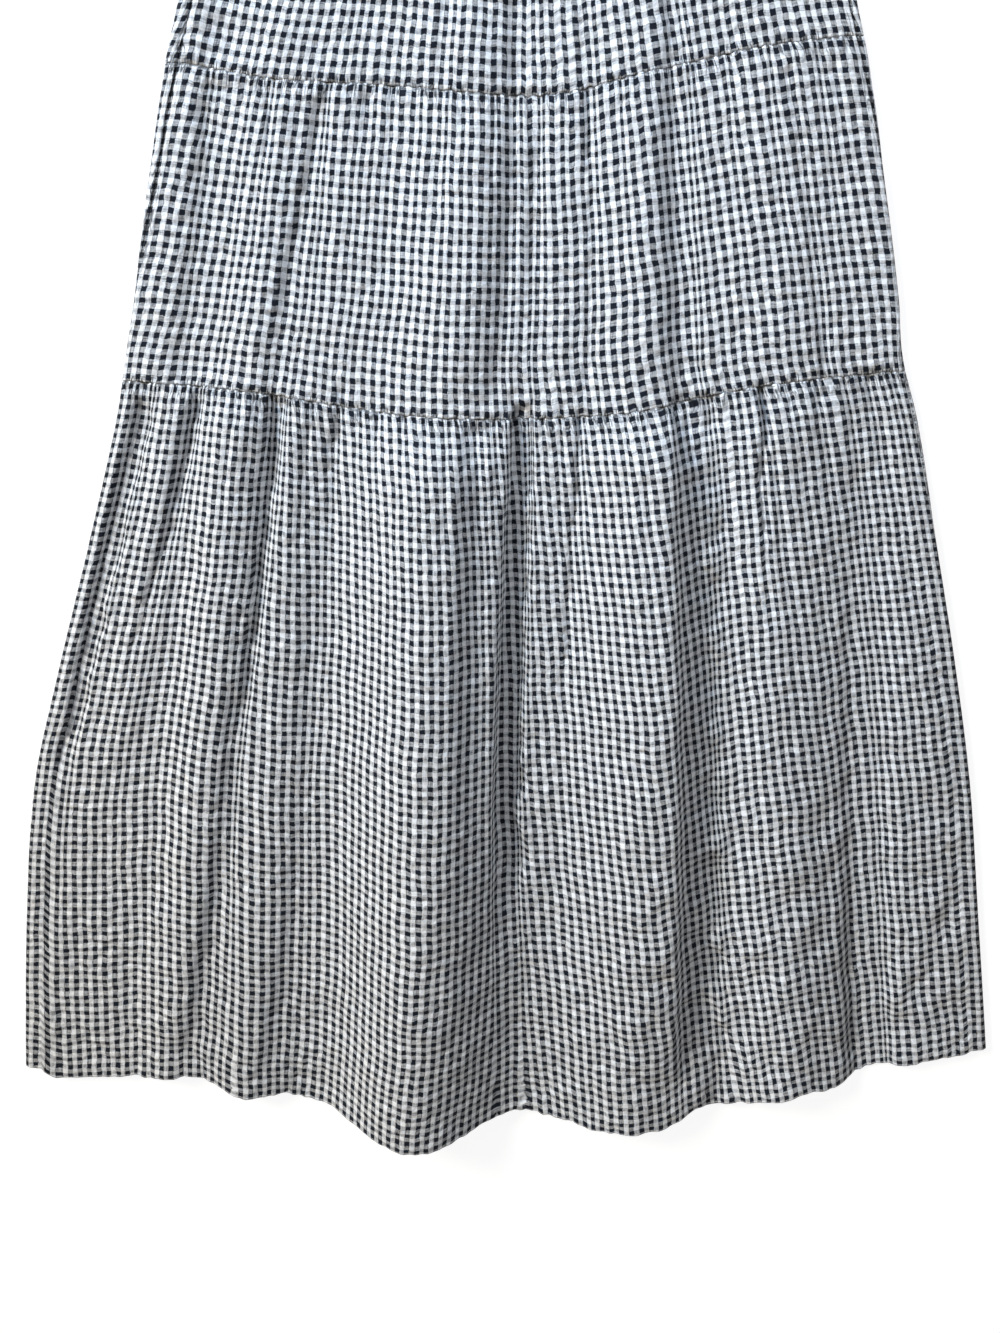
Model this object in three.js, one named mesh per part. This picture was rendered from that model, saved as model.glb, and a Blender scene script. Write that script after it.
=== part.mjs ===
// Tiered sundress laid flat on its back: front up, neckline towards +Y, hem towards -Y, millimetres.
// Each cut piece is one closed wall of cloth. A place on the dress is given by "across", which is X
// from the centre line, and "down", the distance below the folded shoulder end of the straps.
import * as THREE from 'three';

// ---- Driving sizes ----
const CLOTH = 1.5;              // thickness of the crinkled cloth
const SEAM_GAP = 0.3;           // clearance between neighbouring pieces at a seam
const ROLL_RADIUS = 3.6;        // soft roll of each side, at the middle of the cloth
const EDGE_REACH = 16;          // cloth on each side of a side's widest point that follows the roll
const MOST_WRAP = 13;           // furthest that a side seam lies from that point
const FRONT_REST = 2.75;        // lowest level of the middle of the front cloth, on the back cloth
const HEM_DROP = 0.35;          // how far a ridge carries the hem down, per millimetre of its rise
const SEAM_HOLD = 0.35;         // share of each fold that a tier seam presses flat
const SEAM_HOLD_REACH = 22;     // distance over which it does so

const NECK_DEPTH = 12;          // scoop of the front neckline below the strap corners
const BACK_NECK_DEPTH = 6;
const FRONT_TOP = 145;          // strap corners of the front, below the shoulder
const BACK_TOP = 176;           // strap corners of the back
const UNDERARM = 235;
const STRAP_CORNER = 0.5;       // strap corners, as a share of half the bodice's width

const STRAP_WIDTH = 26;
const STRAP_FOLD_RADIUS = 2.6;
const STRAP_FOLD_REACH = 5.2;   // how far the fold at the shoulder runs past the straight strap

const LIFT_FADE = 12;           // distance from a side over which the folds reach their full rise
const ROUNDING = 1.5;           // softness of a valley that touches the back

// Outline of the laid dress, and how far the back is rolled onto the front at each side seam.
const OUTLINE = table(
  ['down', 'left', 'right', 'leftWrap', 'rightWrap'],
  [140, -192, 204, 12, 7],
  [235, -203, 215, 12, 7],
  [355, -228, 240, 12, 7],
  [393, -239, 251, 11, 6],
  [472, -257, 269, 8, 1],
  [555, -274, 286, 1, 0],
  [599, -284, 293, 0, 2],
  [643, -294, 307, 0, 4],
  [735, -322, 330, 0, 1],
  [835, -354, 354, 0, 0],
  [933, -382, 375, 0, 0],
  [1041, -398, 392, 0, 0],
  [1192, -414, 415, 0, 0],
  [1240, -417, 421, 0, 0],
);

// The lines that the tiers are sewn and hemmed on, from the left side to the right.
const WAIST_SEAM = table(
  ['across', 'down'],
  [-240, 396], [-177, 406], [-98, 410], [22, 417], [100, 402], [184, 386], [248, 379],
);
const HIP_SEAM = table(
  ['across', 'down'],
  [-287, 614], [-200, 621], [-109, 635], [-19, 641], [51, 640], [103, 634], [197, 617], [296, 607],
);
const HEM = table(
  ['across', 'down'],
  [-414, 1190], [-400, 1201], [-290, 1199], [-165, 1212], [15, 1233], [196, 1217], [320, 1190], [415, 1178],
);

// Ridges (rise above 0) and creases (below 0) of the front. Each runs from one distance down to
// another, through its places across at the start, middle and end, and fades in and out.
const FRONT_FOLDS = table(
  ['name', 'from', 'to', 'fadeIn', 'fadeOut', 'x0', 'x1', 'x2', 'rise0', 'rise1', 'rise2',
    'left0', 'left2', 'right0', 'right2'],
  ['neck gather 1', 120, 330, 5, 150, -62, -80, -96, 4, 3, 2, 9, 18, 9, 16],
  ['neck gather 2', 120, 350, 5, 150, -40, -50, -58, 5, 4, 2, 9, 18, 9, 16],
  ['neck gather 3', 120, 340, 5, 150, -18, -22, -24, 4, 4, 3, 9, 18, 9, 16],
  ['neck gather 4', 120, 380, 5, 150, 3, 2, 0, 5, 4, 3, 9, 18, 9, 16],
  ['neck gather 5', 120, 350, 5, 150, 25, 30, 38, 4, 4, 2, 9, 18, 9, 16],
  ['neck gather 6', 120, 340, 5, 150, 47, 58, 72, 5, 4, 2, 9, 18, 9, 16],
  ['neck gather 7', 120, 330, 5, 150, 68, 86, 104, 4, 3, 2, 9, 18, 9, 16],
  ['upper left crease', 300, 680, 80, 60, -188, -228, -275, -3, -4, -4, 16, 16, 15, 15],
  ['upper left ridge', 330, 700, 80, 120, -158, -175, -210, 3, 4, 6, 34, 36, 20, 24],
  ['upper inner crease', 400, 660, 30, 50, -127, -148, -180, -3, -4, -4, 14, 14, 14, 14],
  ['upper great ridge', 300, 700, 90, 120, -34, -30, -56, 6, 13, 15, 48, 76, 30, 58],
  ['upper narrow crease', 300, 660, 60, 50, 50, 54, 58, -3, -3, -3, 10, 10, 10, 10],
  ['upper right ridge', 300, 700, 90, 120, 88, 95, 104, 5, 8, 13, 38, 44, 26, 40],
  ['upper outer ridge', 330, 700, 90, 120, 178, 194, 216, 4, 5, 7, 44, 50, 36, 46],
  ['left edge crease', 590, 970, 40, 130, -266, -316, -390, -5, -5, -4, 15, 13, 14, 14],
  ['left edge ridge', 590, 1000, 40, 160, -244, -286, -348, 6, 7, 5, 16, 24, 16, 24],
  ['left middle crease', 590, 900, 30, 110, -226, -262, -312, -5, -5, -3, 12, 14, 12, 14],
  ['left ridge', 590, 1300, 60, 60, -203, -248, -312, 12, 14, 5, 28, 44, 24, 34],
  ['left inner crease', 600, 1300, 30, 60, -175, -216, -272, -6, -6, -5, 13, 15, 13, 15],
  ['left inner ridge', 600, 1300, 40, 60, -156, -194, -226, 5, 9, 19, 20, 48, 30, 70],
  ['great ridge', 600, 1300, 130, 60, -54, -68, -90, 26, 44, 58, 88, 92, 74, 106],
  ['centre crease', 600, 1010, 30, 160, 12, 3, -6, -6, -6, -4, 12, 12, 12, 12],
  ['narrow crease', 600, 820, 30, 90, 57, 52, 46, -4, -4, -2, 11, 11, 10, 10],
  ['right ridge', 600, 1300, 130, 60, 104, 117, 106, 22, 32, 36, 70, 96, 54, 86],
  ['right ridge crease', 600, 790, 30, 100, 134, 140, 148, -4, -3, -2, 12, 12, 12, 12],
  ['right narrow crease', 600, 1000, 30, 160, 187, 202, 226, -4, -4, -2, 11, 11, 11, 11],
  ['right outer ridge', 600, 1300, 60, 60, 186, 214, 240, 8, 11, 15, 34, 50, 62, 78],
  ['far right ridge', 720, 1300, 120, 60, 318, 344, 372, 3, 4, 4, 36, 40, 30, 36],
);

// Shallow ridges of the back, which lies on the surface everywhere else.
const BACK_FOLDS = table(
  ['name', 'from', 'to', 'fadeIn', 'fadeOut', 'x0', 'x1', 'x2', 'rise0', 'rise1', 'rise2',
    'left0', 'left2', 'right0', 'right2'],
  ['back neck ridge', 190, 380, 60, 90, -20, -24, -30, 2, 2, 2, 18, 22, 18, 22],
  ['back upper left', 430, 700, 80, 90, -150, -168, -190, 3, 3, 3, 22, 26, 22, 26],
  ['back upper right', 430, 700, 80, 90, 66, 72, 80, 3, 3, 3, 22, 26, 22, 26],
  ['back left', 660, 1300, 90, 60, -215, -240, -270, 3, 4, 4, 26, 34, 24, 30],
  ['back middle', 660, 1300, 90, 60, -40, -48, -60, 3, 4, 5, 28, 36, 28, 36],
  ['back right', 660, 1300, 90, 60, 140, 160, 176, 3, 4, 4, 26, 34, 26, 34],
);

// The path of a strap, from its end inside the front neckline to its end inside the back one.
const STRAP_PATH = table(
  ['down', 'level', 'across'],
  [168, 6.1, 84], [148, 6.1, 86], [124, 3.9, 87], [96, 2.7, 88], [48, 2.7, 90], [18, 4.6, 91], [8, 5.8, 92],
);
const STRAP_BACK_PATH = table(
  ['down', 'level', 'across'],
  [8, 0.75, 92], [30, 0.75, 91], [90, 0.75, 88], [150, 0.75, 86], [170, 2.6, 85], [205, 2.6, 84],
);

// ---- Small helpers ----
function table(columns, ...rows) {
  return rows.map((row) => Object.fromEntries(row.map((value, i) => [columns[i], value])));
}

const clamp = (value, low, high) => Math.min(high, Math.max(low, value));
const lerp = (a, b, t) => a + (b - a) * t;

function smooth(t) {
  const c = clamp(t, 0, 1);
  return c * c * (3 - 2 * c);
}

// A smooth curve through a table's rows: y as a function of x, straight beyond both ends.
function curve(rows, xKey, yKey, x) {
  const last = rows.length - 1;
  const slope = (i, j) => (rows[j][yKey] - rows[i][yKey]) / (rows[j][xKey] - rows[i][xKey]);
  if (x <= rows[0][xKey]) {
    return rows[0][yKey] + slope(0, 1) * (x - rows[0][xKey]);
  }
  if (x >= rows[last][xKey]) {
    return rows[last][yKey] + slope(last - 1, last) * (x - rows[last][xKey]);
  }
  const i = rows.findIndex((row) => row[xKey] > x) - 1;
  const tangent = (k) => slope(Math.max(0, k - 1), Math.min(last, k + 1));
  const step = rows[i + 1][xKey] - rows[i][xKey];
  const t = (x - rows[i][xKey]) / step;
  const t2 = t * t;
  const t3 = t2 * t;
  return (2 * t3 - 3 * t2 + 1) * rows[i][yKey] + (t3 - 2 * t2 + t) * step * tangent(i)
    + (3 * t2 - 2 * t3) * rows[i + 1][yKey] + (t3 - t2) * step * tangent(i + 1);
}

// A parabola through three values at the start, middle and end of a run.
function through(start, middle, end, t) {
  return start * (1 - t) * (1 - 2 * t) + 4 * middle * t * (1 - t) + end * t * (2 * t - 1);
}

// ---- The lie of the cloth ----
function foldSum(folds, across, down) {
  let sum = 0;
  for (const fold of folds) {
    if (down <= fold.from || down >= fold.to) {
      continue;
    }
    const t = (down - fold.from) / (fold.to - fold.from);
    const offset = across - through(fold.x0, fold.x1, fold.x2, t);
    const reach = offset < 0 ? lerp(fold.left0, fold.left2, t) : lerp(fold.right0, fold.right2, t);
    if (Math.abs(offset) >= reach) {
      continue;
    }
    const rise = through(fold.rise0, fold.rise1, fold.rise2, t);
    const fade = smooth((down - fold.from) / fold.fadeIn) * smooth((fold.to - down) / fold.fadeOut);
    sum += rise * fade * 0.5 * (1 + Math.cos((Math.PI * offset) / reach));
  }
  return sum;
}

function seamHold(across, down) {
  let held = 0;
  for (const seam of [WAIST_SEAM, HIP_SEAM]) {
    const distance = (down - curve(seam, 'across', 'down', across)) / SEAM_HOLD_REACH;
    held += SEAM_HOLD * Math.exp(-distance * distance);
  }
  return 1 - held;
}

// The middle of the roll at a side, and the level of the front where it leaves the roll.
const ROLL_CENTRE = CLOTH / 2 + ROLL_RADIUS;
const FRONT_LEVEL = CLOTH / 2 + 2 * ROLL_RADIUS;
const QUARTER = (Math.PI * ROLL_RADIUS) / 2;

function backRise(across, down, inside) {
  return foldSum(BACK_FOLDS, across, down) * smooth(inside / LIFT_FADE);
}

// The front keeps its own folds, and its valleys settle on the back.
function frontLevel(across, down, inside) {
  const rest = FRONT_REST + backRise(across, down, inside);
  const folds = foldSum(FRONT_FOLDS, across, down) * seamHold(across, down);
  const loft = FRONT_LEVEL - rest + folds * smooth(inside / LIFT_FADE);
  return rest + 0.5 * (loft + Math.sqrt(loft * loft + ROUNDING * ROUNDING));
}

// Distance in from the outline of a place that lies "arc" along the cloth from its widest point.
function insetOf(arc) {
  const run = Math.abs(arc);
  return run < QUARTER ? ROLL_RADIUS * (1 - Math.cos(run / ROLL_RADIUS)) : ROLL_RADIUS + run - QUARTER;
}

// A station is a place in the row of a panel: on a side's roll (side, arc) or across the middle
// (share from -1 to 1). "wraps" makes an arc count from the side seam of that row.
function stationPoint(panel, station, row) {
  const share = station.side ?? station.share;
  const down = panel.down(share, row);
  const left = curve(OUTLINE, 'down', 'left', down);
  const right = curve(OUTLINE, 'down', 'right', down);
  let across;
  let inside;
  let arc = 0;
  if (station.side) {
    const wrap = curve(OUTLINE, 'down', station.side < 0 ? 'leftWrap' : 'rightWrap', down);
    const seam = clamp(wrap, 0, MOST_WRAP);
    arc = lerp(seam + panel.face * SEAM_GAP / 2, panel.face * EDGE_REACH, station.inward);
    const inset = insetOf(arc);
    across = station.side < 0 ? left + inset : right - inset;
    inside = inset - ROLL_RADIUS;
  } else {
    const inset = insetOf(EDGE_REACH);
    across = lerp(left + inset, right - inset, (station.share + 1) / 2);
    inside = Math.min(across - left, right - across) - ROLL_RADIUS;
  }
  if (station.side && Math.abs(arc) < QUARTER) {
    return new THREE.Vector3(across, -down, ROLL_CENTRE + ROLL_RADIUS * Math.sin(arc / ROLL_RADIUS));
  }
  const onFront = station.side ? arc > 0 : panel.face > 0;
  const level = onFront
    ? frontLevel(across, down, inside)
    : CLOTH / 2 + backRise(across, down, inside);
  const drop = onFront ? HEM_DROP * (level - FRONT_LEVEL) * panel.drop(row) : 0;
  return new THREE.Vector3(across, -down - drop, level);
}

function panelStations(middleShares) {
  const edge = (side) => Array.from({ length: EDGE_COLUMNS }, (_, i) => ({ side, inward: i / EDGE_COLUMNS }));
  return [...edge(-1), ...middleShares.map((share) => ({ share })), ...edge(1).reverse()];
}

// ---- Closed walls of cloth ----
// middle(i, j) is a place on the middle of the cloth and normal(i, j) its outward direction.
function wallGeometry(columns, rows, middle, normal) {
  const positions = [];
  const indices = [];
  for (const side of [1, -1]) {
    for (let j = 0; j <= rows; j += 1) {
      for (let i = 0; i <= columns; i += 1) {
        const point = middle(i, j).addScaledVector(normal(i, j), (side * CLOTH) / 2);
        positions.push(point.x, point.y, point.z);
      }
    }
  }
  const layer = (columns + 1) * (rows + 1);
  const outer = (i, j) => j * (columns + 1) + i;
  const inner = (i, j) => layer + outer(i, j);
  const quad = (a, b, c, d) => indices.push(a, b, c, a, c, d);
  for (let j = 0; j < rows; j += 1) {
    for (let i = 0; i < columns; i += 1) {
      quad(outer(i, j), outer(i, j + 1), outer(i + 1, j + 1), outer(i + 1, j));
      quad(inner(i, j), inner(i + 1, j), inner(i + 1, j + 1), inner(i, j + 1));
    }
    quad(outer(0, j), inner(0, j), inner(0, j + 1), outer(0, j + 1));
    quad(outer(columns, j), outer(columns, j + 1), inner(columns, j + 1), inner(columns, j));
  }
  for (let i = 0; i < columns; i += 1) {
    quad(outer(i, 0), outer(i + 1, 0), inner(i + 1, 0), inner(i, 0));
    quad(outer(i, rows), inner(i, rows), inner(i + 1, rows), outer(i + 1, rows));
  }
  if (signedVolume(positions, indices) < 0) {
    for (let k = 0; k < indices.length; k += 3) {
      [indices[k + 1], indices[k + 2]] = [indices[k + 2], indices[k + 1]];
    }
  }
  const geometry = new THREE.BufferGeometry();
  geometry.setAttribute('position', new THREE.Float32BufferAttribute(positions, 3));
  geometry.setIndex(indices);
  geometry.computeVertexNormals();
  return geometry;
}

function signedVolume(positions, indices) {
  const corner = (k) => new THREE.Vector3().fromArray(positions, 3 * indices[k]);
  let volume = 0;
  for (let k = 0; k < indices.length; k += 3) {
    volume += corner(k).dot(corner(k + 1).cross(corner(k + 2))) / 6;
  }
  return volume;
}

// A panel's normal at a station, from small steps to both sides; square to the row at its ends.
function stationNormal(panel, station, row, atEnd) {
  const step = 0.01;
  const key = station.side ? 'inward' : 'share';
  const ahead = { ...station, [key]: station[key] + step };
  const behind = { ...station, [key]: station[key] - step };
  const along = stationPoint(panel, ahead, row).sub(stationPoint(panel, behind, row));
  if (station.side === 1) {
    along.negate();
  }
  const downward = new THREE.Vector3(0, -1, 0);
  if (!atEnd) {
    downward.copy(stationPoint(panel, station, row + step).sub(stationPoint(panel, station, row - step)));
  } else {
    along.y = 0;
  }
  return along.cross(downward).normalize().multiplyScalar(-panel.face);
}

function panelGeometry(panel) {
  const stations = panel.stations;
  const rows = panel.rows;
  const end = (j) => j === 0 || j === rows;
  return wallGeometry(
    stations.length - 1,
    rows,
    (i, j) => stationPoint(panel, stations[i], j / rows),
    (i, j) => stationNormal(panel, stations[i], j / rows, end(j)),
  );
}

// ---- The panels ----
const evenShares = (count) => Array.from({ length: count + 1 }, (_, i) => -1 + (2 * i) / count);

// Shares across the bodice, closer together where the armhole curves down from the strap.
function bodiceShares(neckCount, armCount) {
  const arm = Array.from({ length: armCount }, (_, k) => 1 - (1 - STRAP_CORNER)
    * Math.cos((Math.PI / 2) * ((armCount - k) / armCount)));
  const neck = evenShares(neckCount).map((share) => share * STRAP_CORNER);
  return [...arm.map((share) => -share), ...neck, ...arm.slice().reverse()];
}

// Height of a bodice's top edge at a share across it: neckline, strap corner, armhole.
function topEdge(cornerDown, neckDepth) {
  return (share) => {
    const s = Math.min(1, Math.abs(share));
    if (s <= STRAP_CORNER) {
      return cornerDown + neckDepth * (1 - (s / STRAP_CORNER) ** 2);
    }
    const reach = (1 - s) / (1 - STRAP_CORNER);
    return cornerDown + (UNDERARM - cornerDown) * Math.sqrt(1 - reach * reach);
  };
}

// A sewn line at a share across it, measured between its own ends.
function sewnLine(line) {
  const left = line[0].across;
  const right = line[line.length - 1].across;
  return (share) => curve(line, 'across', 'down', lerp(left, right, (clamp(share, -1, 1) + 1) / 2));
}

function panelBetween({ top, bottom, face, stations, rows, drop = () => 0 }) {
  const down = (share, row) => lerp(top(share) + SEAM_GAP / 2, bottom(share) - SEAM_GAP / 2, row);
  return { down, face, stations, rows, drop };
}

const FRONT = 1;
const BACK = -1;
const BODICE_ROWS = 6;          // a front and its back share their rows, so their side seams match
const UPPER_ROWS = 5;
const LOWER_ROWS = 11;
const FRONT_COLUMNS = 64;       // both tiers share their columns, so they match at the hip seam
const BACK_COLUMNS = 24;
const FRONT_NECK_COLUMNS = 24;
const BACK_NECK_COLUMNS = 12;
const ARMHOLE_COLUMNS = 6;
const EDGE_COLUMNS = 4;
const waist = sewnLine(WAIST_SEAM);
const hip = sewnLine(HIP_SEAM);
const hem = sewnLine(HEM);

const PANELS = {
  bodice_front: panelBetween({
    top: topEdge(FRONT_TOP, NECK_DEPTH), bottom: waist, face: FRONT,
    stations: panelStations(bodiceShares(FRONT_NECK_COLUMNS, ARMHOLE_COLUMNS)), rows: BODICE_ROWS,
  }),
  bodice_back: panelBetween({
    top: topEdge(BACK_TOP, BACK_NECK_DEPTH), bottom: waist, face: BACK,
    stations: panelStations(bodiceShares(BACK_NECK_COLUMNS, ARMHOLE_COLUMNS)), rows: BODICE_ROWS,
  }),
  upper_tier_front: panelBetween({
    top: waist, bottom: hip, face: FRONT,
    stations: panelStations(evenShares(FRONT_COLUMNS)), rows: UPPER_ROWS,
  }),
  upper_tier_back: panelBetween({
    top: waist, bottom: hip, face: BACK,
    stations: panelStations(evenShares(BACK_COLUMNS)), rows: UPPER_ROWS,
  }),
  lower_tier_front: panelBetween({
    top: hip, bottom: hem, face: FRONT,
    stations: panelStations(evenShares(FRONT_COLUMNS)), rows: LOWER_ROWS,
    drop: (row) => row,
  }),
  lower_tier_back: panelBetween({
    top: hip, bottom: hem, face: BACK,
    stations: panelStations(evenShares(BACK_COLUMNS)), rows: LOWER_ROWS,
  }),
};

// ---- The straps ----
function strapPath() {
  const shoulder = STRAP_BACK_PATH[0];
  const fold = [1, 2, 3].map((k) => {
    const angle = (k * Math.PI) / 4;
    return {
      down: shoulder.down - STRAP_FOLD_REACH * Math.sin(angle),
      level: shoulder.level + STRAP_FOLD_RADIUS * (1 + Math.cos(angle)),
      across: shoulder.across,
    };
  });
  return [...STRAP_PATH, ...fold, ...STRAP_BACK_PATH];
}

function strapGeometry(side) {
  const path = strapPath();
  const centre = (outlineRow) => (outlineRow.left + outlineRow.right) / 2;
  const middleLine = centre(OUTLINE[0]);
  const point = (j) => new THREE.Vector3(middleLine + side * path[j].across, -path[j].down, path[j].level);
  const normal = (j) => {
    const along = point(Math.min(path.length - 1, j + 1)).sub(point(Math.max(0, j - 1)));
    return new THREE.Vector3(-1, 0, 0).cross(along).normalize();
  };
  const place = (i, j) => point(j).add(new THREE.Vector3((i - 0.5) * STRAP_WIDTH, 0, 0));
  return wallGeometry(1, path.length - 1, place, (i, j) => normal(j));
}

// ---- Assembly ----
function clothMaterial() {
  return new THREE.MeshStandardMaterial({ color: 0x9aa3b2, roughness: 0.9, metalness: 0 });
}

const dress = new THREE.Group();

function addPiece(name, geometry) {
  const mesh = new THREE.Mesh(geometry, clothMaterial());
  mesh.name = name;
  dress.add(mesh);
}

for (const [name, panel] of Object.entries(PANELS)) {
  addPiece(name, panelGeometry(panel));
}
addPiece('strap_left', strapGeometry(-1));
addPiece('strap_right', strapGeometry(1));

// The origin is under the middle of the laid dress.
const box = new THREE.Box3().setFromObject(dress);
const middle = box.getCenter(new THREE.Vector3());
dress.position.set(-middle.x, -middle.y, -box.min.z);

const group = new THREE.Group();
group.add(dress);

export default group;
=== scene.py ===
"""Looks of a tiered gingham sundress laid flat: cloth panels, straps, stitching, light and camera.

Lengths in the tables are millimetres. A place on the dress is given by "across", the distance from
the centre line, "down", the distance below the folded shoulder end of the straps, and its level.
"""
import math

import bpy
import numpy as np
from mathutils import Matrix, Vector


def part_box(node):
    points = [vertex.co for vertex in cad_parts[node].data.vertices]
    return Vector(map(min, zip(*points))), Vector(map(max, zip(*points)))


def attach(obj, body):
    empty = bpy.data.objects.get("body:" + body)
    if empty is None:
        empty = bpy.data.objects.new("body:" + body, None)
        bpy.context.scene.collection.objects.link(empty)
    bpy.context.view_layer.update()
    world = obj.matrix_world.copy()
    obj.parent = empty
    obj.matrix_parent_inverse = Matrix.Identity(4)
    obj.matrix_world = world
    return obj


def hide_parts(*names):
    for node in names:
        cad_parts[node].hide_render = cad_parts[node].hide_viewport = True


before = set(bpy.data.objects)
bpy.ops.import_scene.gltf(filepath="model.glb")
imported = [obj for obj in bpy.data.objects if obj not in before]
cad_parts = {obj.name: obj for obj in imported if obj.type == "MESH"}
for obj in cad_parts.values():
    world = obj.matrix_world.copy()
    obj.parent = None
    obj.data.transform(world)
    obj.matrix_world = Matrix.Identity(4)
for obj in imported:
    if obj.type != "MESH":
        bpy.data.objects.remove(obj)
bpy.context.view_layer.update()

bl_info = {
    "name": "Tiered Sundress",
    "version": (1, 0, 0),
    "blender": (4, 5, 0),
    "location": "View3D > Sidebar > Dress",
    "description": "Builds a laid tiered sundress in crinkled gingham around its construction frame",
    "category": "Object",
}

BODY = "root"
MM = 0.001

# ---- Sizes shared with the construction ----
CLOTH = 1.5                     # wall of each construction panel
SEAM_GAP = 0.3                  # left between two pieces at a seam
ROLL_RADIUS = 3.6               # of the middle of the cloth, where it rolls over at the sides
EDGE_REACH = 16                 # cloth from the outermost line of the roll to the flat grid
MOST_WRAP = 13                  # furthest that a side seam lies round on the front
FRONT_REST = 2.75               # least height of the front's middle over the back's
HEM_DROP = 0.35                 # share of a fold's height by which its hem comes lower
SEAM_HOLD = 0.35                # share of each fold that a tier seam presses flat
SEAM_HOLD_REACH = 22
NECK_DEPTH = 12                 # dip of the front neckline in its middle
BACK_NECK_DEPTH = 6
FRONT_TOP = 145                 # "down" of the neckline at the straps
BACK_TOP = 176
UNDERARM = 235                  # "down" of the lowest end of the armholes
STRAP_CORNER = 0.5              # share of the half width where the neckline meets the armhole
STRAP_WIDTH = 26
STRAP_FOLD_RADIUS = 2.6
STRAP_FOLD_REACH = 5.2
LIFT_FADE = 12                  # folds flatten out this close to the rolled sides
UNEVEN = 0.6                    # how far a sewn line strays
ROUNDING = 1.5                  # softness of the stop that keeps the front over the back

ROLL_CENTRE = CLOTH / 2 + ROLL_RADIUS
FRONT_LEVEL = CLOTH / 2 + 2 * ROLL_RADIUS
QUARTER = math.pi * ROLL_RADIUS / 2


def table(columns, *rows):
    """A short table as one array for each named column."""
    return {name: np.array([row[i] for row in rows], float) for i, name in enumerate(columns.split())}


OUTLINE = table(
    "down left right leftWrap rightWrap",
    (140, -192, 201, 12, 7),
    (235, -203, 212, 12, 7),
    (355, -228, 237, 12, 7),
    (393, -239, 248, 11, 6),
    (472, -257, 266, 8, 1),
    (555, -274, 283, 1, 0),
    (599, -284, 290, 0, 2),
    (643, -294, 304, 0, 4),
    (735, -322, 327, 0, 1),
    (835, -354, 351, 0, 0),
    (933, -383, 372, 0, 0),
    (1041, -400, 389, 0, 0),
    (1192, -416, 412, 0, 0),
    (1240, -418, 418, 0, 0),
)
WAIST_SEAM = table(
    "across down",
    (-240, 396), (-177, 406), (-98, 410), (22, 417), (100, 402), (184, 386), (248, 379),
)
HIP_SEAM = table(
    "across down",
    (-287, 614), (-200, 621), (-109, 635), (-19, 641), (51, 640), (103, 634), (197, 617), (296, 607),
)
HEM = table(
    "across down",
    (-414, 1196), (-409, 1202), (-400, 1206), (-350, 1204), (-290, 1198), (-240, 1210), (-200, 1219),
    (-180, 1225), (-160, 1226), (-110, 1229), (-50, 1232), (-28, 1235), (15, 1237), (60, 1242),
    (117, 1236), (138, 1236), (165, 1229), (196, 1229), (240, 1206), (265, 1200), (296, 1203), (330, 1197),
    (402, 1183), (411, 1183), (415, 1179),
)
# Wide folds: "x" is the line of the crest and "rise" its height at the start, middle and end, and "left"
# and "right" are how far the fold reaches to its sides at the start and the end.
FOLD_COLUMNS = "start end fadeIn fadeOut x0 x1 x2 rise0 rise1 rise2 left0 left2 right0 right2"
FRONT_FOLDS = table(
    FOLD_COLUMNS,
    (120, 310, 5, 130, -60, -79, -97, 4, 3, 2, 8, 16, 10, 17),
    (120, 360, 5, 160, -42, -51, -60, 6, 4, 2, 10, 18, 8, 15),
    (120, 300, 5, 120, -21, -25, -29, 3, 3, 2, 8, 15, 8, 14),
    (120, 390, 5, 170, 2, 2, 0, 5, 5, 3, 10, 19, 10, 18),
    (120, 340, 5, 140, 27, 33, 40, 4, 3, 2, 8, 17, 9, 15),
    (120, 320, 5, 150, 46, 57, 70, 6, 4, 2, 9, 16, 8, 17),
    (120, 350, 5, 150, 70, 88, 107, 3, 3, 2, 9, 18, 10, 16),
    (330, 700, 80, 120, -158, -175, -210, 3, 4, 6, 34, 36, 20, 24),
    (300, 700, 90, 120, -34, -30, -56, 6, 13, 15, 48, 76, 30, 58),
    (300, 700, 90, 120, 88, 95, 104, 5, 8, 13, 38, 44, 26, 40),
    (330, 700, 90, 120, 178, 194, 216, 4, 5, 7, 44, 50, 36, 46),
    (590, 1000, 40, 160, -244, -286, -348, 5, 5, 3, 18, 26, 24, 30),
    (590, 1300, 60, 60, -203, -248, -312, 12, 14, 5, 32, 48, 46, 52),
    (600, 1300, 40, 60, -156, -196, -244, 5, 9, 18, 20, 48, 30, 54),
    (600, 1300, 95, 60, -54, -68, -90, 26, 46, 50, 80, 92, 74, 106),
    (600, 1300, 80, 60, 104, 117, 106, 22, 33, 21, 70, 96, 54, 86),
    (600, 1300, 60, 60, 186, 218, 250, 8, 15, 28, 34, 70, 62, 78),
    (720, 1300, 120, 60, 318, 344, 372, 3, 3, 1, 36, 40, 30, 36),
)
BACK_FOLDS = table(
    FOLD_COLUMNS,
    (190, 380, 60, 90, -20, -24, -30, 2, 2, 2, 18, 22, 18, 22),
    (430, 700, 80, 90, -150, -168, -190, 3, 3, 3, 22, 26, 22, 26),
    (430, 700, 80, 90, 66, 72, 80, 3, 3, 3, 22, 26, 22, 26),
    (660, 1300, 90, 60, -215, -240, -270, 3, 4, 4, 26, 34, 24, 30),
    (660, 1300, 90, 60, -40, -48, -60, 3, 4, 5, 28, 36, 28, 36),
    (660, 1300, 90, 60, 140, 160, 176, 3, 4, 4, 26, 34, 26, 34),
)
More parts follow.
